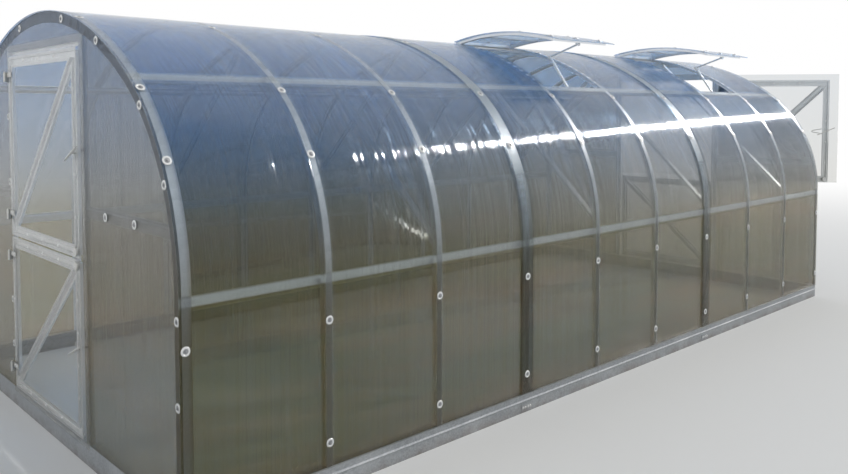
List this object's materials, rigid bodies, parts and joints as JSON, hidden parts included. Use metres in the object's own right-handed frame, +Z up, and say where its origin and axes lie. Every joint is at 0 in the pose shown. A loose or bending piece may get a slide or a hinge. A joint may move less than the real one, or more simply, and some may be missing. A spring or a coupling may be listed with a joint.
{
  "type": "polycarbonate greenhouse",
  "caption": "Arched walk-in greenhouse of clear twin-wall sheets on a galvanised frame, with stable doors in both gables and propped roof vents.",
  "frame": {"origin": "under the middle of the front base rail, on the ground", "axes": "+X along the house from the front gable to the rear gable, +Y across it away from the side with the vents, +Z up"},
  "size_m": [6.76, 3.024, 2.1845],
  "materials": {
    "galvanised_steel": "dull zinc-coated sheet steel",
    "polycarbonate": "clear twin-wall sheet with fine flutes along the arch",
    "zinc_fittings": "bright zinc-plated hinges, turn buttons and levers",
    "opener_metal": "pale aluminium rod and arm"
  },
  "bodies": {
    "house": {"arch_0": "galvanised_steel", "arch_1": "galvanised_steel", "arch_2": "galvanised_steel", "arch_3": "galvanised_steel", "arch_4": "galvanised_steel", "arch_5": "galvanised_steel", "arch_6": "galvanised_steel", "arch_7": "galvanised_steel", "arch_8": "galvanised_steel", "arch_9": "galvanised_steel", "base_rail_front": "galvanised_steel", "base_rail_rear": "galvanised_steel", "base_rail_near": "galvanised_steel", "base_rail_far": "galvanised_steel", "base_plates": "galvanised_steel", "mid_purlins": "galvanised_steel", "upper_purlins": "galvanised_steel", "ridge_purlin": "galvanised_steel", "braces_near": "galvanised_steel", "braces_far": "galvanised_steel", "front_gable_frame": "galvanised_steel", "rear_gable_frame": "galvanised_steel", "vent_trimmers": "galvanised_steel", "vent_1_frame": "galvanised_steel", "vent_2_frame": "galvanised_steel", "cover_sheet_1": "polycarbonate", "cover_sheet_2": "polycarbonate", "cover_sheet_3": "polycarbonate", "front_gable_sheets": "polycarbonate", "rear_gable_sheets": "polycarbonate", "vent_1_sheet": "polycarbonate", "vent_2_sheet": "polycarbonate", "front_gable_hinges": "zinc_fittings", "rear_gable_hinges": "zinc_fittings", "vent_hinges": "zinc_fittings", "vent_1_opener": "opener_metal", "vent_2_opener": "opener_metal"},
    "front_lower_leaf": {"front_lower_leaf_frame": "galvanised_steel", "front_lower_leaf_sheet": "polycarbonate", "front_lower_hinges": "zinc_fittings", "front_lower_latches": "zinc_fittings"},
    "front_upper_leaf": {"front_upper_leaf_frame": "galvanised_steel", "front_upper_leaf_sheet": "polycarbonate", "front_upper_hinges": "zinc_fittings", "front_upper_latches": "zinc_fittings"},
    "rear_lower_leaf": {"rear_lower_leaf_frame": "galvanised_steel", "rear_lower_leaf_sheet": "polycarbonate", "rear_lower_hinges": "zinc_fittings", "rear_lower_latches": "zinc_fittings"},
    "rear_upper_leaf": {"rear_upper_leaf_frame": "galvanised_steel", "rear_upper_leaf_sheet": "polycarbonate", "rear_upper_hinges": "zinc_fittings", "rear_upper_latches": "zinc_fittings"}
  },
  "joints": [
    {"name": "front_lower_hinge", "type": "hinge", "parent": "house", "child": "front_lower_leaf", "pos_m": [-0.0342, 0.53, 0], "axis": [0, 0, -1], "range_deg": [0, 170]},
    {"name": "front_upper_hinge", "type": "hinge", "parent": "house", "child": "front_upper_leaf", "pos_m": [-0.0342, 0.53, 0], "axis": [0, 0, -1], "range_deg": [0, 170]},
    {"name": "rear_lower_hinge", "type": "hinge", "parent": "house", "child": "rear_lower_leaf", "pos_m": [6.0342, -0.53, 0], "axis": [0, 0, -1], "range_deg": [0, 170]},
    {"name": "rear_upper_hinge", "type": "hinge", "parent": "house", "child": "rear_upper_leaf", "pos_m": [6.0342, -0.53, 0], "axis": [0, 0, -1], "range_deg": [-143, 27]}
  ]
}
